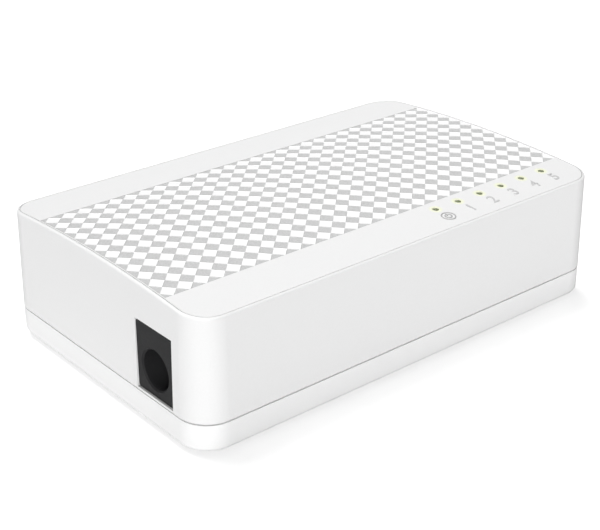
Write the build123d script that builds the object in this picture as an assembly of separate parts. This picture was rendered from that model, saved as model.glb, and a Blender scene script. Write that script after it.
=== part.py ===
from build123d import *
import os

# A five-port desktop network switch, in millimetres. X runs along its length with the power
# socket at the -X end, the lights are at the -Y side and the network ports at the +Y side.
# Every height is counted from the underside of the case, which the feet lift by FOOT_PROUD.

# Case
LENGTH = 83.6
DEPTH = 52.4
EDGE_HEIGHT = 21.15
CROWN = 1.3
CORNER_R = 5.0
WALL = 1.8
DRAFT = 1.1
PARTING_Z = 4.6
PARTING_GAP = 0.25
TOP_EDGE_R = 0.35
TOP_LINE = (0.74, 0.88)
TOP_LINE_DEPTH = 0.12
BOTTOM_EDGE_R = 0.8
FIELD_X = (-40.75, 40.75)
FIELD_Y = (-17.45, 16.3)
FIELD_DEPTH = 0.25
TONGUE = 0.9
TONGUE_GAP = 0.1
TONGUE_HEIGHT = 2.0
FOOT_PROUD = 0.6
FOOT_R = 4.0
FOOT_RECESS = 0.8
FOOT_XY = (33.5, 18.0)

# Case screws
SCREW_XY = (22.0, -8.0)
SCREW_R = 1.3
SCREW_HEAD_R = 2.5
SCREW_HEAD_H = 1.7
SCREW_SEAT_Z = 13.0
POST_R = 3.6
BOSS_R = 2.9

# Board, which hangs upside down under the cover
BOARD_T = 1.6
BOARD_UNDER_Z = 16.25
BOARD_X = 77.6
BOARD_Y0 = -23.4
BOARD_Y1 = 22.6
BOARD_TOP_Z = BOARD_UNDER_Z + BOARD_T

# Power socket
SOCKET_Y = -15.1
SOCKET_FACE_X = -41.5
SOCKET_W = 8.8
SOCKET_L = 14.0
SOCKET_Z0 = 5.15
SOCKET_Z1 = BOARD_UNDER_Z
BORE_Z = 9.5
BORE_R = 3.15
BORE_DEPTH = 10.0
PIN_R = 1.0
PIN_LENGTH = 6.4
SPRING_INSET = 4.0

# Network ports
PORTS = 5
PORT_PITCH = 14.0
PORT_W = 13.8
PORT_FACE_Y = 25.7
PORT_L = 16.0
PORT_Z0 = 2.8
PORT_Z1 = BOARD_UNDER_Z
CAVITY_W = 11.9
CAVITY_Z0 = 7.0
CAVITY_Z1 = 14.0
CAVITY_L = 13.0
CONTACT_PITCH = 1.02
CONTACT_W = 0.42
CONTACTS = 8

# Lights
LIGHTS = 6
LIGHT_X0 = 9.52
LIGHT_PITCH = 5.01
LIGHT_Y = -19.6
GUIDE_R = 0.5
GUIDE_HOLE_R = 0.54


def port_x(index):
    return (index - (PORTS - 1) / 2) * PORT_PITCH


def light_x(index):
    return LIGHT_X0 + index * LIGHT_PITCH


def box(x0, x1, y0, y1, z0, z1):
    """A box between two corners."""
    centre = Pos((x0 + x1) / 2, (y0 + y1) / 2, (z0 + z1) / 2)
    return centre * Box(x1 - x0, y1 - y0, z1 - z0)


def rod(x, y, z0, z1, radius):
    """An upright cylinder between two heights."""
    return Pos(x, y, (z0 + z1) / 2) * Cylinder(radius, z1 - z0)


def rod_x(x0, x1, y, z, radius):
    """A cylinder that lies along X."""
    return Pos((x0 + x1) / 2, y, z) * Rot(0, 90, 0) * Cylinder(radius, x1 - x0)


def plan_block(inset, z0, z1, draft=0):
    """A block with the case's rounded plan, set in by a margin."""
    plan = RectangleRounded(LENGTH - 2 * inset, DEPTH - 2 * inset, CORNER_R - inset)
    return extrude(Pos(0, 0, z0) * plan, amount=z1 - z0, taper=draft)


def crown_radius():
    half = DEPTH / 2
    return (half**2 + CROWN**2) / (2 * CROWN)


def crown_z(y):
    """Height of the arched top at a distance from its middle line."""
    radius = crown_radius()
    return EDGE_HEIGHT + CROWN - radius + (radius**2 - y**2) ** 0.5


def below_crown(drop):
    """Everything under the arched top, lowered by the wall's thickness where asked."""
    radius = crown_radius()
    return rod_x(-LENGTH, LENGTH, 0, EDGE_HEIGHT + CROWN - radius - drop, radius)


def on_screws(make):
    """One feature at each case screw."""
    x, y = SCREW_XY
    return [make(side * x, y) for side in (-1, 1)]


def on_feet(make):
    """One feature at each foot."""
    x, y = FOOT_XY
    return [make(sx * x, sy * y) for sx in (-1, 1) for sy in (-1, 1)]


def port_window(z0, z1):
    """The gap in the back wall that the row of ports fills."""
    half = PORTS * PORT_PITCH / 2 + 0.1
    return box(-half, half, DEPTH / 2 - WALL - TONGUE - 1, DEPTH / 2 + 1, z0, z1)


def socket_window(z0, z1):
    """The gap in the end wall that the power socket fills."""
    half = SOCKET_W / 2 + 0.1
    inner = -LENGTH / 2 + WALL + TONGUE + 1
    return box(-LENGTH / 2 - 1, inner, SOCKET_Y - half, SOCKET_Y + half, z0, z1)


def upper_shell():
    z0 = PARTING_Z + PARTING_GAP / 2
    top = EDGE_HEIGHT + CROWN + 1
    outer = plan_block(0, z0, top, DRAFT) & below_crown(0)
    outer = fillet(outer.faces().sort_by(Axis.Z)[-1].edges(), TOP_EDGE_R)
    hollow = plan_block(WALL, z0 - 1, top, DRAFT) & below_crown(WALL)
    # the shallow recess that the checkered field lies in
    field = box(*FIELD_X, *FIELD_Y, EDGE_HEIGHT - 1, top) - below_crown(FIELD_DEPTH)
    # the fine line that bounds the top face just inside its rounded edge
    line = plan_block(TOP_LINE[0], EDGE_HEIGHT - 1, top) - plan_block(TOP_LINE[1], EDGE_HEIGHT - 2, top + 1)
    shell = outer - hollow - field - (line - below_crown(TOP_LINE_DEPTH))
    ceiling = crown_z(SCREW_XY[1]) - WALL
    for boss in on_screws(lambda x, y: rod(x, y, BOARD_TOP_Z + 0.05, ceiling + 0.3, BOSS_R)):
        shell += boss
    for hole in on_screws(lambda x, y: rod(x, y, BOARD_TOP_Z, ceiling + 0.6, SCREW_R + 0.02)):
        shell -= hole
    for index in range(LIGHTS):
        shell -= rod(light_x(index), LIGHT_Y, BOARD_TOP_Z, top, GUIDE_HOLE_R)
    shell -= socket_window(SOCKET_Z0 - 0.1, SOCKET_Z1 + 0.1)
    shell -= port_window(z0 - 1, PORT_Z1 + 0.15)
    return shell


def lower_shell():
    z1 = PARTING_Z - PARTING_GAP / 2
    tray = plan_block(0, 0, z1)
    tray = fillet(tray.faces().sort_by(Axis.Z)[0].edges(), BOTTOM_EDGE_R)
    inner = WALL + TONGUE_GAP
    tray -= plan_block(inner, WALL, z1 + 1)
    tongue = plan_block(inner, WALL, z1 + TONGUE_HEIGHT, DRAFT)
    tongue -= plan_block(inner + TONGUE, WALL, z1 + TONGUE_HEIGHT + 1, DRAFT)
    tray += tongue
    for post in on_screws(lambda x, y: rod(x, y, WALL / 2, BOARD_UNDER_Z - 0.05, POST_R)):
        tray += post
    for bore in on_screws(lambda x, y: rod(x, y, -1, SCREW_SEAT_Z, SCREW_HEAD_R + 0.3)):
        tray -= bore
    for bore in on_screws(lambda x, y: rod(x, y, 0, BOARD_UNDER_Z + 1, SCREW_R + 0.2)):
        tray -= bore
    for recess in on_feet(lambda x, y: rod(x, y, -1, FOOT_RECESS, FOOT_R + 0.1)):
        tray -= recess
    tray -= port_window(PORT_Z0 - 0.15, z1 + TONGUE_HEIGHT + 1)
    tray -= socket_window(z1, z1 + TONGUE_HEIGHT + 1)
    return tray


def rubber_foot(x, y):
    foot = rod(x, y, -FOOT_PROUD, FOOT_RECESS, FOOT_R)
    return fillet(foot.faces().sort_by(Axis.Z)[0].edges(), FOOT_PROUD / 2)


def case_screw(x, y):
    """Pan head with a cross recess, and a plain shank up into the cover's boss."""
    head_z = SCREW_SEAT_Z - SCREW_HEAD_H
    head = rod(x, y, head_z, SCREW_SEAT_Z, SCREW_HEAD_R)
    head = fillet(head.faces().sort_by(Axis.Z)[0].edges(), SCREW_HEAD_H / 2)
    end_z = crown_z(y) - WALL
    screw = head + rod(x, y, SCREW_SEAT_Z, end_z, SCREW_R)
    arm = SCREW_HEAD_R * 0.6
    for half_x, half_y in ((arm, 0.25), (0.25, arm)):
        screw -= box(x - half_x, x + half_x, y - half_y, y + half_y, head_z - 1, head_z + 1.1)
    return screw


def socket_terminals():
    """Places of the power socket's three board terminals: x, y, and half size along each."""
    back = SOCKET_FACE_X + SOCKET_L - 0.5
    middle = SOCKET_FACE_X + SOCKET_L - 6.0
    side = SOCKET_FACE_X + SOCKET_L - 4.0
    along = (side, SOCKET_Y + 3.4, 1.2, 0.25)
    return [(back, SOCKET_Y, 0.25, 1.2), (middle, SOCKET_Y, 0.25, 1.2), along]


def terminal(x, y, half_x, half_y, z0, margin=0):
    hx = half_x + margin
    hy = half_y + margin
    return box(x - hx, x + hx, y - hy, y + hy, z0, BOARD_TOP_Z + 1.0)


def dc_jack_housing():
    x0 = SOCKET_FACE_X
    x1 = x0 + SOCKET_L
    half = SOCKET_W / 2
    body = box(x0, x1, SOCKET_Y - half, SOCKET_Y + half, SOCKET_Z0, SOCKET_Z1 - 0.05)
    body = chamfer(body.edges().filter_by(Axis.X), 0.3)
    bore = rod_x(x0 - 1, x0 + BORE_DEPTH, SOCKET_Y, BORE_Z, BORE_R)
    flare = Pos(x0 + 0.1, SOCKET_Y, BORE_Z) * Rot(0, 90, 0) * Cone(BORE_R + 0.3, BORE_R, 0.3)
    body = body - bore - flare
    body -= rod_x(x0 + BORE_DEPTH - 1, x1 - 1.4, SOCKET_Y, BORE_Z, PIN_R)
    # slot beside the bore that the spring contact lies in
    y0 = SOCKET_Y + 2.4
    y1 = SOCKET_Y + half - 0.55
    body -= box(x0 + SPRING_INSET, x1 - 2.0, y0, y1, BORE_Z - 1.3, BORE_Z + 1.3)
    for x, y, half_x, half_y in socket_terminals():
        body -= terminal(x, y, half_x, half_y, SOCKET_Z1 - 1.2, 0.1)
    return body


def dc_jack_pin():
    x0 = SOCKET_FACE_X + BORE_DEPTH - PIN_LENGTH
    pin = rod_x(x0, SOCKET_FACE_X + SOCKET_L - 1.5, SOCKET_Y, BORE_Z, PIN_R - 0.01)
    return fillet(pin.faces().sort_by(Axis.X)[0].edges(), 0.4)


def dc_jack_spring():
    """A bowed strip that presses on the side of the plug."""
    x0 = SOCKET_FACE_X + SPRING_INSET + 0.3
    x1 = SOCKET_FACE_X + SOCKET_L - 2.3
    y = SOCKET_Y + 3.45
    middle = (x0 + x1) / 2
    line = Polyline((x0, y), (middle - 1, y - 0.85), (middle + 1.5, y - 0.2), (x1, y - 0.2))
    strip = trace(line, line_width=0.25)
    return extrude(Pos(0, 0, BORE_Z - 1.1) * strip, amount=2.2)


def dc_jack_terminals():
    return [terminal(x, y, hx, hy, SOCKET_Z1 - 1.1) for x, y, hx, hy in socket_terminals()]


def contact_pin_y(slot):
    """The pins of the eight contacts stand in two staggered rows."""
    return PORT_FACE_Y - CAVITY_L + (0.9 if slot % 2 else 2.6)


def contact_x(index, slot):
    return port_x(index) + (slot - (CONTACTS - 1) / 2) * CONTACT_PITCH


def port_housing(index):
    x = port_x(index)
    y1 = PORT_FACE_Y
    half = PORT_W / 2
    body = box(x - half, x + half, y1 - PORT_L, y1, PORT_Z0, PORT_Z1 - 0.05)
    inner = y1 - CAVITY_L
    for width, z0, z1 in ((CAVITY_W, CAVITY_Z0, CAVITY_Z1), (6.4, 5.4, CAVITY_Z0), (4.2, 3.9, 5.4)):
        body -= box(x - width / 2, x + width / 2, inner, y1 + 1, z0, z1)
    # the raised roof that the contacts lie under
    body -= box(x - 4.4, x + 4.4, inner, y1 - 2.0, CAVITY_Z1 - 0.1, CAVITY_Z1 + 1.0)
    for slot in range(CONTACTS):
        cx = contact_x(index, slot)
        cy = contact_pin_y(slot)
        body -= box(cx - 0.3, cx + 0.3, cy - 0.3, cy + 0.3, CAVITY_Z1, PORT_Z1 + 1)
    return body


def port_contacts(index):
    """Eight spring wires, each one folded back into the cavity and pinned to the board."""
    wires = []
    roof = CAVITY_Z1 + 0.6
    fold_y = PORT_FACE_Y - 3.2
    for slot in range(CONTACTS):
        pin_y = contact_pin_y(slot)
        tip = (PORT_FACE_Y - 10.0, CAVITY_Z1 - 2.1)
        foot = (pin_y, BOARD_TOP_Z + 0.8)
        line = Polyline(tip, (fold_y, roof - 0.5), (fold_y, roof), (pin_y, roof), foot)
        profile = Plane.YZ * trace(line, line_width=0.3)
        wire = extrude(profile, amount=CONTACT_W / 2, both=True)
        wires.append(Pos(contact_x(index, slot), 0, 0) * wire)
    return wires


def circuit_board():
    middle = Pos(0, (BOARD_Y0 + BOARD_Y1) / 2, BOARD_UNDER_Z)
    board = extrude(middle * RectangleRounded(BOARD_X, BOARD_Y1 - BOARD_Y0, 3.5), amount=BOARD_T)
    for hole in on_screws(lambda x, y: rod(x, y, 0, BOARD_TOP_Z + 1, SCREW_R + 0.3)):
        board -= hole
    for x, y, half_x, half_y in socket_terminals():
        board -= terminal(x, y, half_x, half_y, 0, 0.1)
    holes = []
    for index in range(PORTS):
        for slot in range(CONTACTS):
            holes.append(rod(contact_x(index, slot), contact_pin_y(slot), 0, BOARD_TOP_Z + 1, 0.4))
    return board - holes


def light_guide():
    """A clear bar under the cover with one short pipe up to each light's hole."""
    bar_top = crown_z(LIGHT_Y + 1.3) - WALL - 0.35
    x0 = light_x(0) - 1.5
    x1 = light_x(LIGHTS - 1) + 1.5
    guide = box(x0, x1, LIGHT_Y - 0.9, LIGHT_Y + 0.9, bar_top - 0.7, bar_top)
    for index in range(LIGHTS):
        pipe = rod(light_x(index), LIGHT_Y, bar_top - 0.3, crown_z(LIGHT_Y) - 0.03, GUIDE_R)
        guide += fillet(pipe.faces().sort_by(Axis.Z)[-1].edges(), 0.12)
    return guide


def light(index):
    """A surface-mounted light on the board's upper side."""
    x = light_x(index)
    return box(x - 1.0, x + 1.0, LIGHT_Y - 0.6, LIGHT_Y + 0.6, BOARD_TOP_Z, BOARD_TOP_Z + 0.6)


def hung(x, y, size_x, size_y, height):
    """A box-shaped component on the board's under side."""
    z1 = BOARD_UNDER_Z
    return box(x - size_x / 2, x + size_x / 2, y - size_y / 2, y + size_y / 2, z1 - height, z1)


def legs(x, y, span, count, pitch, along_x=True):
    """Two rows of flat legs beside a component, outside its body."""
    out = []
    for side in (-1, 1):
        for slot in range(count):
            step = (slot - (count - 1) / 2) * pitch
            if along_x:
                out.append(hung(x + step, y + side * span, pitch * 0.45, 1.0, 0.35))
            else:
                out.append(hung(x + side * span, y + step, 1.0, pitch * 0.45, 0.35))
    return out


def switch_chip():
    body = hung(0, -9.5, 14.0, 14.0, 1.5)
    return chamfer(body.faces().sort_by(Axis.Z)[0].edges(), 0.2)


def switch_chip_legs():
    return legs(0, -9.5, 7.55, 24, 0.5) + legs(0, -9.5, 7.55, 24, 0.5, along_x=False)


def port_magnetics(index):
    body = hung(port_x(index), 4.2, 10.0, 7.0, 4.6)
    return chamfer(body.faces().sort_by(Axis.Z)[0].edges(), 0.4)


def crystal():
    body = hung(14.0, -16.5, 11.0, 4.4, 3.4)
    return fillet(body.edges().filter_by(Axis.Z), 2.1)


def electrolytic(x, y):
    z1 = BOARD_UNDER_Z
    can = rod(x, y, z1 - 6.2, z1 - 0.8, 3.1)
    can = fillet(can.faces().sort_by(Axis.Z)[0].edges(), 0.4)
    return can + hung(x, y, 6.4, 6.4, 0.8)


def power_inductor():
    body = hung(-14.0, -3.4, 6.0, 6.0, 3.0)
    return chamfer(body.edges().filter_by(Axis.Z), 1.0)


def small_parts():
    """Chip resistors and capacitors in rows on the board's under side."""
    parts = []
    for slot in range(9):
        parts.append(hung(-30.0 + slot * 3.0, -21.6, 1.6, 0.8, 0.6))
        parts.append(hung(10.5 + slot * 3.0, -21.6, 1.6, 0.8, 0.6))
    for slot in range(5):
        parts.append(hung(30.5, -14.5 + slot * 2.6, 1.6, 0.8, 0.6))
        parts.append(hung(34.0, -14.5 + slot * 2.6, 1.6, 0.8, 0.6))
    return parts


def save(name, shape):
    """Lift the piece by the height of the feet and write it."""
    pieces = shape if isinstance(shape, list) else [shape]
    solids = [solid for piece in pieces for solid in piece.solids()]
    lifted = Pos(0, 0, FOOT_PROUD) * Compound(children=solids)
    export_step(lifted, f"parts/{name}.step")


os.makedirs("parts", exist_ok=True)
save("upper_shell", upper_shell())
save("lower_shell", lower_shell())
for number, foot in enumerate(on_feet(rubber_foot), 1):
    save(f"rubber_foot_{number}", foot)
save("case_screws", on_screws(case_screw))
save("circuit_board", circuit_board())
save("dc_jack_housing", dc_jack_housing())
save("dc_jack_pin", dc_jack_pin())
save("dc_jack_spring", dc_jack_spring())
save("dc_jack_terminals", dc_jack_terminals())
for index in range(PORTS):
    save(f"port_{index + 1}_housing", port_housing(index))
    save(f"port_{index + 1}_contacts", port_contacts(index))
    save(f"port_{index + 1}_magnetics", port_magnetics(index))
    save(f"port_{index + 1}_light", light(index + 1))
save("power_light", light(0))
save("light_guide", light_guide())
save("switch_chip", switch_chip())
save("switch_chip_legs", switch_chip_legs())
save("crystal", crystal())
save("input_capacitor", electrolytic(-14.0, -14.5))
save("output_capacitor", electrolytic(-22.0, -16.5))
save("power_inductor", power_inductor())
save("small_parts", small_parts())
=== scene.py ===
import math
import bpy
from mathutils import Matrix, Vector


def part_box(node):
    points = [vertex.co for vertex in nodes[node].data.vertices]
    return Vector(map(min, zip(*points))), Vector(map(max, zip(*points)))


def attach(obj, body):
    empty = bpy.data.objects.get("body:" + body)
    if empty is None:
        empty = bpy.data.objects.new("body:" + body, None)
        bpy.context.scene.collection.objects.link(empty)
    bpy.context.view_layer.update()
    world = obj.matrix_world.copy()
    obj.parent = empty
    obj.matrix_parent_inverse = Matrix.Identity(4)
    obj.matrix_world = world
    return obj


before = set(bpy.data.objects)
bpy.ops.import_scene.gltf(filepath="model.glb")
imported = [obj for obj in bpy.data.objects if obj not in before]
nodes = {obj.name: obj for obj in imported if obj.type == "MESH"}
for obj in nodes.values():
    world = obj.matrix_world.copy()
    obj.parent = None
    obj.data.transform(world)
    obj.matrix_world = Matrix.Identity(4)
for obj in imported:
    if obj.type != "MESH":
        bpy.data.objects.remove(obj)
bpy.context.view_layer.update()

mm = 0.001

caseLo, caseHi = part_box("upper_shell")
guideLo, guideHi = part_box("light_guide")
lampLo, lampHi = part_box("power_light")
cover = {
    "crown": 1.3 * mm,           # how much higher the middle is than the front and back edges
    "endMargin": 1.05 * mm,      # from the case's ends to the checkered field
    "frontMargin": 8.75 * mm,
    "backMargin": 9.9 * mm,
}
lights = {
    "count": 6,
    "x0": (lampLo.x + lampHi.x) / 2,
    "y": (guideLo.y + guideHi.y) / 2,
    "pitch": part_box("port_1_light")[0].x - lampLo.x,
}


def coverZ(y):
    # height of the arched cover at a distance from its middle line
    radius = (caseHi.y ** 2 + cover["crown"] ** 2) / (2 * cover["crown"])
    return caseHi.z - radius + math.sqrt(radius ** 2 - y ** 2)


def makeGrainGroup():
    # moulded grain: a slow tone drift, a fine height and a roughness that follows it
    texture = {
        "slowScale": 60,
        "slowDetail": 3,
        "fineDetail": 4,
        "fineRoughness": 0.6,
        "speckleFrom": 0.3,      # the stretch of the fine noise that the speckle uses
        "speckleTo": 0.7,
    }
    sockets = {
        "INPUT": {
            "Vector": "Vector", "Color": "Color", "Drift": "Float", "Speckle": "Float",
            "Grain Size": "Float", "Rough Low": "Float", "Rough High": "Float",
        },
        "OUTPUT": {"Color": "Color", "Height": "Float", "Roughness": "Float"},
    }
    group = bpy.data.node_groups.new("moulded_grain", "ShaderNodeTree")
    for side, kinds in sockets.items():
        for name, kind in kinds.items():
            group.interface.new_socket(name, in_out=side, socket_type="NodeSocket" + kind)
    new, link = group.nodes.new, group.links.new

    def oneMinus(socket):
        node = new("ShaderNodeMath")
        node.operation = "SUBTRACT"
        node.inputs[0].default_value = 1.0
        link(socket, node.inputs[1])
        return node.outputs[0]

    def multiplied(color, tone):
        node = new("ShaderNodeMix")
        node.data_type = "RGBA"
        node.blend_type = "MULTIPLY"
        node.inputs["Factor"].default_value = 1.0
        link(color, node.inputs["A"])
        link(tone, node.inputs["B"])
        return node.outputs["Result"]

    inside = new("NodeGroupInput")
    outside = new("NodeGroupOutput")
    slow = new("ShaderNodeTexNoise")
    slow.inputs["Scale"].default_value = texture["slowScale"]
    slow.inputs["Detail"].default_value = texture["slowDetail"]
    fine = new("ShaderNodeTexNoise")
    fine.inputs["Detail"].default_value = texture["fineDetail"]
    fine.inputs["Roughness"].default_value = texture["fineRoughness"]
    drift = new("ShaderNodeMapRange")
    drift.inputs["To Max"].default_value = 1.0
    speckle = new("ShaderNodeMapRange")
    speckle.inputs["From Min"].default_value = texture["speckleFrom"]
    speckle.inputs["From Max"].default_value = texture["speckleTo"]
    speckle.inputs["To Max"].default_value = 1.0
    gloss = new("ShaderNodeMapRange")
    link(inside.outputs["Vector"], slow.inputs["Vector"])
    link(inside.outputs["Vector"], fine.inputs["Vector"])
    link(inside.outputs["Grain Size"], fine.inputs["Scale"])
    link(slow.outputs["Fac"], drift.inputs["Value"])
    link(oneMinus(inside.outputs["Drift"]), drift.inputs["To Min"])
    link(fine.outputs["Fac"], speckle.inputs["Value"])
    link(oneMinus(inside.outputs["Speckle"]), speckle.inputs["To Min"])
    link(fine.outputs["Fac"], gloss.inputs["Value"])
    link(inside.outputs["Rough Low"], gloss.inputs["To Min"])
    link(inside.outputs["Rough High"], gloss.inputs["To Max"])
    tinted = multiplied(inside.outputs["Color"], drift.outputs["Result"])
    link(multiplied(tinted, speckle.outputs["Result"]), outside.inputs["Color"])
    link(fine.outputs["Fac"], outside.inputs["Height"])
    link(gloss.outputs["Result"], outside.inputs["Roughness"])
    return group


grainGroup = makeGrainGroup()


def grainMaterial(name, spec):
    # spec: color, drift, speckle, grain (per metre), rough (low, high), bump, and any shader values
    usual = {"speckle": 0.02, "bumpHeight": 0.02 * mm}
    mat = bpy.data.materials.new(name)
    mat.use_nodes = True
    shader = mat.node_tree.nodes["Principled BSDF"]
    new, link = mat.node_tree.nodes.new, mat.node_tree.links.new
    coords = new("ShaderNodeTexCoord")
    grain = new("ShaderNodeGroup")
    grain.node_tree = grainGroup
    grain.inputs["Color"].default_value = (*spec["color"], 1)
    grain.inputs["Drift"].default_value = spec["drift"]
    grain.inputs["Speckle"].default_value = spec.get("speckle", usual["speckle"])
    grain.inputs["Grain Size"].default_value = spec["grain"]
    grain.inputs["Rough Low"].default_value = spec["rough"][0]
    grain.inputs["Rough High"].default_value = spec["rough"][1]
    bump = new("ShaderNodeBump")
    bump.inputs["Strength"].default_value = spec["bump"]
    bump.inputs["Distance"].default_value = usual["bumpHeight"]
    link(coords.outputs["Object"], grain.inputs["Vector"])
    link(grain.outputs["Color"], shader.inputs["Base Color"])
    link(grain.outputs["Roughness"], shader.inputs["Roughness"])
    link(grain.outputs["Height"], bump.inputs["Height"])
    link(bump.outputs["Normal"], shader.inputs["Normal"])
    for socket, value in spec.get("shader", {}).items():
        shader.inputs[socket].default_value = value
    return mat


def mathMaker(tree):
    # gives a function that adds one math node, fed by sockets or numbers
    def math2(kind, a, b=0):
        node = tree.nodes.new("ShaderNodeMath")
        node.operation = kind
        for slot, value in enumerate((a, b)):
            if isinstance(value, (int, float)):
                node.inputs[slot].default_value = value
            else:
                tree.links.new(value, node.inputs[slot])
        return node.outputs[0]
    return math2


def splitCoords(tree, kind):
    # the x, y and z of the object's own places or normals
    coords = tree.nodes.new("ShaderNodeTexCoord")
    split = tree.nodes.new("ShaderNodeSeparateXYZ")
    tree.links.new(coords.outputs[kind], split.inputs[0])
    return split.outputs


def paintOver(mat, mask, color):
    # lays a colour over the material's own where the mask is 1
    tree = mat.node_tree
    shader = tree.nodes["Principled BSDF"]
    mixer = tree.nodes.new("ShaderNodeMix")
    mixer.data_type = "RGBA"
    tree.links.new(mask, mixer.inputs["Factor"])
    tree.links.new(shader.inputs["Base Color"].links[0].from_socket, mixer.inputs["A"])
    mixer.inputs["B"].default_value = (*color, 1)
    tree.links.new(mixer.outputs["Result"], shader.inputs["Base Color"])


def addPaintedGrooveShade(mat):
    # painted shade in the fine groove round the top: faces that look up but lie under the arch are
    # painted grey
    line = {"color": (0.42, 0.42, 0.42), "depth": 0.07 * mm, "facingUp": 0.9}
    math2 = mathMaker(mat.node_tree)
    place = splitCoords(mat.node_tree, "Object")
    facing = splitCoords(mat.node_tree, "Normal")
    bend = cover["crown"] / caseHi.y ** 2
    sag = math2("MULTIPLY", math2("MULTIPLY", place["Y"], place["Y"]), bend)
    drop = math2("SUBTRACT", math2("SUBTRACT", caseHi.z, sag), place["Z"])
    low = math2("GREATER_THAN", drop, line["depth"])
    up = math2("GREATER_THAN", facing["Z"], line["facingUp"])
    paintOver(mat, math2("MULTIPLY", low, up), line["color"])


def addPartingShade(mat):
    # the tray's tongue, behind the parting line, reads as a dark gap
    tongue = {"color": (0.06, 0.06, 0.06), "from": 5.09 * mm}
    place = splitCoords(mat.node_tree, "Object")
    above = mathMaker(mat.node_tree)("GREATER_THAN", place["Z"], tongue["from"])
    paintOver(mat, above, tongue["color"])


def addPaintedLightGlow(mat):
    # painted glow: a faint warm ring of light painted on the cover round each light's hole
    glow = {"color": (0.90, 0.92, 0.70), "fullTo": 0.55 * mm, "fadedAt": 1.45 * mm}
    tree = mat.node_tree
    math2 = mathMaker(tree)
    place = splitCoords(tree, "Object")
    along = math2("SUBTRACT", place["X"], lights["x0"] - lights["pitch"] / 2)
    aside = math2("SUBTRACT", math2("MODULO", along, lights["pitch"]), lights["pitch"] / 2)
    across = math2("SUBTRACT", place["Y"], lights["y"])
    squares = math2("ADD", math2("MULTIPLY", aside, aside), math2("MULTIPLY", across, across))
    ring = tree.nodes.new("ShaderNodeMapRange")
    ring.interpolation_type = "SMOOTHERSTEP"
    ring.inputs["From Min"].default_value = glow["fullTo"]
    ring.inputs["From Max"].default_value = glow["fadedAt"]
    ring.inputs["To Min"].default_value = 1
    ring.inputs["To Max"].default_value = 0
    tree.links.new(math2("SQRT", squares), ring.inputs["Value"])
    pastStart = math2("GREATER_THAN", along, 0)
    beforeEnd = math2("LESS_THAN", along, lights["count"] * lights["pitch"])
    inRow = math2("MULTIPLY", pastStart, beforeEnd)
    paintOver(mat, math2("MULTIPLY", ring.outputs["Result"], inRow), glow["color"])


caseLook = {
    "color": (0.864, 0.864, 0.864), "drift": 0.012, "grain": 3200, "rough": (0.34, 0.46), "bump": 0.25}
materials = {
    "case": grainMaterial("case_white", caseLook),
    "lower": grainMaterial("case_white_lower", {**caseLook, "color": (0.935, 0.935, 0.935)}),
    "squareWhite": grainMaterial("square_gloss_white", {
        "color": (0.985, 0.985, 0.985), "drift": 0.005, "grain": 1500, "rough": (0.12, 0.2), "bump": 0.05,
        "shader": {"Coat Weight": 0.4, "Coat Roughness": 0.08}}),
    "squareGrey": grainMaterial("square_etched_grey", {
        "color": (0.65, 0.65, 0.65), "drift": 0.05, "speckle": 0.2, "grain": 3600,
        "rough": (0.5, 0.75), "bump": 0.9}),
    # painted shade: the raised digits are the case's white, painted grey for the shade round their relief
    "label": grainMaterial("label_painted_shade_grey", {
        "color": (0.60, 0.60, 0.60), "drift": 0.03, "grain": 3000, "rough": (0.4, 0.5), "bump": 0.2}),
    # painted shade: the raised power symbol is painted a darker grey for the same shade
    "labelShadeDark": grainMaterial("label_painted_dark_shade", {
        "color": (0.42, 0.42, 0.42), "drift": 0.03, "grain": 3000, "rough": (0.4, 0.5), "bump": 0.2}),
    "black": grainMaterial("socket_black", {
        "color": (0.021, 0.021, 0.022), "drift": 0.2, "grain": 2600, "rough": (0.4, 0.6), "bump": 0.5,
        "shader": {"Specular IOR Level": 0.14}}),
    "rubber": grainMaterial("foot_rubber", {
        "color": (0.035, 0.035, 0.035), "drift": 0.2, "grain": 4000, "rough": (0.75, 0.92), "bump": 0.8}),
    "board": grainMaterial("board_green", {
        "color": (0.02, 0.14, 0.05), "drift": 0.3, "grain": 900, "rough": (0.25, 0.4), "bump": 0.3}),
    "tin": grainMaterial("tinned_contact", {
        "color": (0.42, 0.41, 0.39), "drift": 0.1, "grain": 3000, "rough": (0.2, 0.38), "bump": 0.2,
        "shader": {"Metallic": 1.0}}),
    "gold": grainMaterial("gold_contact", {
        "color": (0.87, 0.62, 0.25), "drift": 0.1, "grain": 3000, "rough": (0.18, 0.32), "bump": 0.15,
        "shader": {"Metallic": 1.0}}),
    "screw": grainMaterial("screw_zinc", {
        "color": (0.6, 0.6, 0.61), "drift": 0.15, "grain": 2500, "rough": (0.25, 0.45), "bump": 0.4,
        "shader": {"Metallic": 1.0}}),
    "can": grainMaterial("component_can", {
        "color": (0.7, 0.71, 0.73), "drift": 0.08, "grain": 1800, "rough": (0.22, 0.35), "bump": 0.2,
        "shader": {"Metallic": 1.0}}),
    "chip": grainMaterial("chip_ceramic", {
        "color": (0.32, 0.26, 0.19), "drift": 0.3, "grain": 1500, "rough": (0.35, 0.5), "bump": 0.3}),
    "light": grainMaterial("light_resin", {
        "color": (0.55, 0.62, 0.2), "drift": 0.1, "grain": 2000, "rough": (0.15, 0.25), "bump": 0.1}),
    "guide": grainMaterial("light_guide_olive", {
        "color": (0.11, 0.14, 0.03), "drift": 0.15, "grain": 2500, "rough": (0.12, 0.22), "bump": 0.1,
        "shader": {"Coat Weight": 0.5, "Coat Roughness": 0.05}}),
}
addPaintedGrooveShade(materials["case"])
addPartingShade(materials["lower"])
addPaintedLightGlow(materials["case"])
print("materials made")

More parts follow.
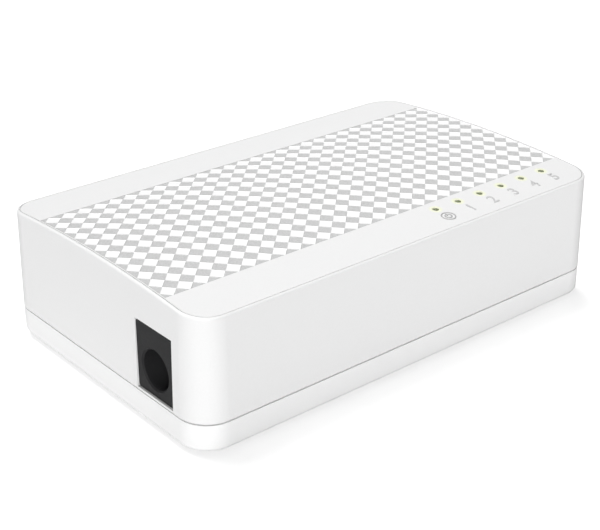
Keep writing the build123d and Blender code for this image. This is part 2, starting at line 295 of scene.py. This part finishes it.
finishes = {
    "upper_shell": "case", "lower_shell": "lower", "case_screws": "screw", "circuit_board": "board",
    "dc_jack_housing": "black", "dc_jack_pin": "tin", "dc_jack_spring": "tin", "dc_jack_terminals": "tin",
    "switch_chip": "black", "switch_chip_legs": "tin", "crystal": "can", "input_capacitor": "can",
    "output_capacitor": "can", "power_inductor": "black", "small_parts": "chip", "light_guide": "guide",
    "power_light": "light",
}
portFinishes = {"housing": "black", "contacts": "gold", "magnetics": "black", "light": "light"}
for number in range(1, 6):
    for piece, finish in portFinishes.items():
        finishes[f"port_{number}_{piece}"] = finish
for number in range(1, 5):
    finishes[f"rubber_foot_{number}"] = "rubber"
for name, finish in finishes.items():
    nodes[name].data.materials.clear()
    nodes[name].data.materials.append(materials[finish])
print("finishes set")


def startPiece():
    bpy.ops.object.select_all(action="DESELECT")


def editAll():
    bpy.ops.object.mode_set(mode="EDIT")
    bpy.ops.mesh.select_all(action="SELECT")


def finishPiece(name, slot, *mats):
    obj = bpy.context.object
    obj.name = obj.data.name = name
    if mats:
        obj.data.materials.clear()
        for mat in mats:
            obj.data.materials.append(mat)
    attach(obj, "root")


def pickFaces(obj, test):
    # selects faces by a test on their middle, from object mode
    for vert in obj.data.vertices:
        vert.select = False
    for edge in obj.data.edges:
        edge.select = False
    for face in obj.data.polygons:
        face.select = test(face.center)


def makeSquares():
    look = {
        "rows": 12,              # white squares, corner to corner, across the field
        "stretch": 1.014,        # a little wider along the case than across it
        "gridMiddle": 14.5,      # in squares from the field's left end
        "spare": 4,              # extra squares, so that the grid is larger than the field
        "start": 0.5,            # white squares stand with a corner on the field's edge, half a square in
        "edgeGap": 0.03 * mm,
        "rim": 0.05 * mm,
        "sink": 0.07 * mm,       # grey squares lie lower than the white ones
        "thickness": 0.12 * mm,
        "below": 0.06 * mm,      # white squares lie just under the smooth strips
    }
    x0 = caseLo.x + cover["endMargin"]
    x1 = caseHi.x - cover["endMargin"]
    y0 = caseLo.y + cover["frontMargin"]
    y1 = caseHi.y - cover["backMargin"]
    diagonal = (y1 - y0) / look["rows"]
    cell = diagonal / math.sqrt(2)
    reach = ((x1 - x0) + (y1 - y0)) / math.sqrt(2)
    count = 2 * math.ceil(reach / cell / 2) + look["spare"]
    startPiece()
    bpy.ops.mesh.primitive_grid_add(x_subdivisions=count, y_subdivisions=count, size=count * cell,
                                    rotation=(0, 0, math.radians(45)))
    bpy.ops.object.transform_apply(location=False, rotation=True, scale=False)
    obj = bpy.context.object
    for vert in obj.data.vertices:
        vert.co.x = x0 + (vert.co.x + look["gridMiddle"] * diagonal) * look["stretch"]
        vert.co.y += (y0 + y1) / 2
    gap = look["edgeGap"]
    cuts = (
        ((x0 + gap, 0, 0), (-1, 0, 0)),
        ((x1 - gap, 0, 0), (1, 0, 0)),
        ((0, y0 + gap, 0), (0, -1, 0)),
        ((0, y1 - gap, 0), (0, 1, 0)),
    )
    bpy.ops.object.mode_set(mode="EDIT")
    for point, outward in cuts:
        bpy.ops.mesh.select_all(action="SELECT")
        bpy.ops.mesh.bisect(plane_co=point, plane_no=outward, clear_outer=True)
    bpy.ops.object.mode_set(mode="OBJECT")

    def isGrey(middle):
        along = (middle.x - x0) / look["stretch"] / diagonal - look["start"]
        across = (middle.y - y0) / diagonal
        return (math.floor(along + across) + math.floor(along - across)) % 2 == 0

    obj.data.materials.append(materials["squareWhite"])
    obj.data.materials.append(materials["squareGrey"])
    for face in obj.data.polygons:
        face.material_index = int(isGrey(face.center))
    pickFaces(obj, isGrey)
    bpy.ops.object.mode_set(mode="EDIT")
    bpy.ops.mesh.select_mode(type="FACE")
    bpy.ops.mesh.inset(thickness=look["rim"], use_individual=True)
    bpy.ops.transform.translate(value=(0, 0, -look["sink"]))
    bpy.ops.object.mode_set(mode="OBJECT")
    if obj.data.polygons[0].normal.z < 0:
        obj.data.flip_normals()
    solid = obj.modifiers.new("thickness", "SOLIDIFY")
    solid.thickness = look["thickness"]
    solid.offset = -1
    bpy.ops.object.modifier_apply(modifier=solid.name)
    for vert in obj.data.vertices:
        vert.co.z += coverZ(vert.co.y) - look["below"]
    finishPiece("cover_squares", "case")
    print("squares made", len(obj.data.polygons), "faces")


makeSquares()

labels = {
    "text": "12345",
    "y": -22.45 * mm,
    "shift": 0.15 * mm,          # the digits stand a little to the right of their lights
    "height": 2.2 * mm,
    "digitShare": 0.72,          # a digit's height as a share of the letter size
    "proud": 0.08 * mm,
    "edge": 0.012 * mm,
}


def layOnCover(obj):
    # lifts a flat mesh onto the arched cover
    for vert in obj.data.vertices:
        vert.co.z += coverZ(vert.co.y)


def makeDigit(index, letter):
    startPiece()
    x = lights["x0"] + (index + 1) * lights["pitch"] + labels["shift"]
    bpy.ops.object.text_add(location=(x, labels["y"], 0))
    text = bpy.context.object.data
    text.body = letter
    text.size = labels["height"] / labels["digitShare"]
    text.align_x = "CENTER"
    text.align_y = "CENTER"
    text.extrude = labels["proud"]
    text.bevel_depth = labels["edge"]
    bpy.ops.object.convert(target="MESH")
    bpy.ops.object.transform_apply(location=True, rotation=True, scale=True)
    layOnCover(bpy.context.object)
    # the digit takes the grey of painted shade
    finishPiece(f"label_{letter}", "case", materials["label"])


def makePowerSymbol():
    # a ring with a break at its top and a short bar through the break, inside a second ring
    symbol = {
        "outer": 1.12 * mm, "inner": 0.55 * mm, "line": 0.11 * mm, "gap": 35, "stepsRound": 48,
        "stepsAcross": 8, "barPlace": 0.8, "barLength": 0.95, "barEdge": 0.02 * mm, "smoothTo": 40,
    }
    centre = Vector((lights["x0"], labels["y"], 0))

    def addRing(radius):
        bpy.ops.mesh.primitive_torus_add(
            major_radius=radius, minor_radius=symbol["line"], major_segments=symbol["stepsRound"],
            minor_segments=symbol["stepsAcross"], location=centre)
        return bpy.context.object

    def inBreak(middle):
        return middle.y > 0 and abs(math.degrees(math.atan2(middle.x, middle.y))) < symbol["gap"]

    startPiece()
    ring = addRing(symbol["outer"])
    broken = addRing(symbol["inner"])
    pickFaces(broken, inBreak)
    bpy.ops.object.mode_set(mode="EDIT")
    bpy.ops.mesh.select_mode(type="FACE")
    bpy.ops.mesh.delete(type="FACE")
    bpy.ops.mesh.select_all(action="SELECT")
    bpy.ops.mesh.fill_holes(sides=symbol["stepsAcross"])
    bpy.ops.object.mode_set(mode="OBJECT")
    barCentre = centre + Vector((0, symbol["inner"] * symbol["barPlace"], 0))
    bpy.ops.mesh.primitive_cube_add(size=1, location=barCentre)
    bar = bpy.context.object
    bar.scale = (symbol["line"] * 2, symbol["inner"] * symbol["barLength"], symbol["line"] * 2)
    bpy.ops.object.transform_apply(location=False, rotation=False, scale=True)
    editAll()
    bpy.ops.mesh.bevel(offset=symbol["barEdge"], segments=2)
    bpy.ops.object.mode_set(mode="OBJECT")
    for part in (ring, broken, bar):
        part.select_set(True)
    bpy.context.view_layer.objects.active = ring
    bpy.ops.object.join()
    bpy.ops.object.transform_apply(location=True, rotation=True, scale=True)
    bpy.ops.object.shade_smooth_by_angle(angle=math.radians(symbol["smoothTo"]))
    layOnCover(ring)
    finishPiece("label_power", "case", materials["labelShadeDark"])


for index, letter in enumerate(labels["text"]):
    makeDigit(index, letter)
makePowerSymbol()
print("labels made")

ground = {"size": 6, "drop": 0.02 * mm, "lift": 0.5}
startPiece()
bpy.ops.mesh.primitive_plane_add(size=ground["size"], location=(0, 0, -ground["drop"]))
floor = bpy.context.object
floor.name = "floor"
floorMat = grainMaterial("floor_white", {
    "color": (0.72, 0.72, 0.72), "drift": 0.01, "grain": 300, "rough": (0.8, 0.9), "bump": 0.05,
    "shader": {"Emission Color": (1, 1, 1, 1)}})
floorTree = floorMat.node_tree
floorRays = floorTree.nodes.new("ShaderNodeLightPath")
lift = mathMaker(floorTree)("MULTIPLY", floorRays.outputs["Is Camera Ray"], ground["lift"])
# the floor reads as white without lighting the walls
floorTree.links.new(lift, floorTree.nodes["Principled BSDF"].inputs["Emission Strength"])
floor.data.materials.append(floorMat)

sky = {"light": 0.14, "seen": 1.0}
world = bpy.data.worlds.new("studio")
bpy.context.scene.world = world
world.use_nodes = True
worldTree = world.node_tree
dome = worldTree.nodes["Background"]
dome.inputs["Color"].default_value = (1, 1, 1, 1)
dome.inputs["Strength"].default_value = sky["light"]
backdrop = worldTree.nodes.new("ShaderNodeBackground")
backdrop.inputs["Color"].default_value = (1, 1, 1, 1)
backdrop.inputs["Strength"].default_value = sky["seen"]
rays = worldTree.nodes.new("ShaderNodeLightPath")
chooser = worldTree.nodes.new("ShaderNodeMixShader")
worldTree.links.new(rays.outputs["Is Camera Ray"], chooser.inputs[0])
worldTree.links.new(dome.outputs[0], chooser.inputs[1])
worldTree.links.new(backdrop.outputs[0], chooser.inputs[2])
worldTree.links.new(chooser.outputs[0], worldTree.nodes["World Output"].inputs["Surface"])

suns = {                         # towards: the direction from the object to the lamp
    "key": {"towards": (-0.63, -0.70, 0.34), "strength": 2.3, "angle": 35},
    "overhead": {"towards": (0.0, 0.35, 1.0), "strength": 2.15, "angle": 25},
    "back_fill": {"towards": (0.55, 0.75, 0.35), "strength": 0.28, "angle": 40},
}
for name, sun in suns.items():
    lamp = bpy.data.lights.new(name, "SUN")
    lamp.energy = sun["strength"]
    lamp.angle = math.radians(sun["angle"])
    lampObject = bpy.data.objects.new(name, lamp)
    bpy.context.collection.objects.link(lampObject)
    lampObject.rotation_euler = Vector(sun["towards"]).to_track_quat("Z", "Y").to_euler()

view = {
    "place": (-0.13105, -0.15412, 0.10716),
    "towards": (0.57664, 0.68867, -0.43958),
    "lens": 80.19,
    "sensor": 36,
    "clipStart": 0.01,
}
camera = bpy.data.objects.new("camera", bpy.data.cameras.new("camera"))
bpy.context.collection.objects.link(camera)
camera.location = view["place"]
camera.rotation_euler = Vector(view["towards"]).to_track_quat("-Z", "Y").to_euler()
camera.data.lens = view["lens"]
camera.data.sensor_width = view["sensor"]
camera.data.clip_start = view["clipStart"]
bpy.context.scene.camera = camera
bpy.context.scene.view_settings.view_transform = "Standard"
print("stage set")
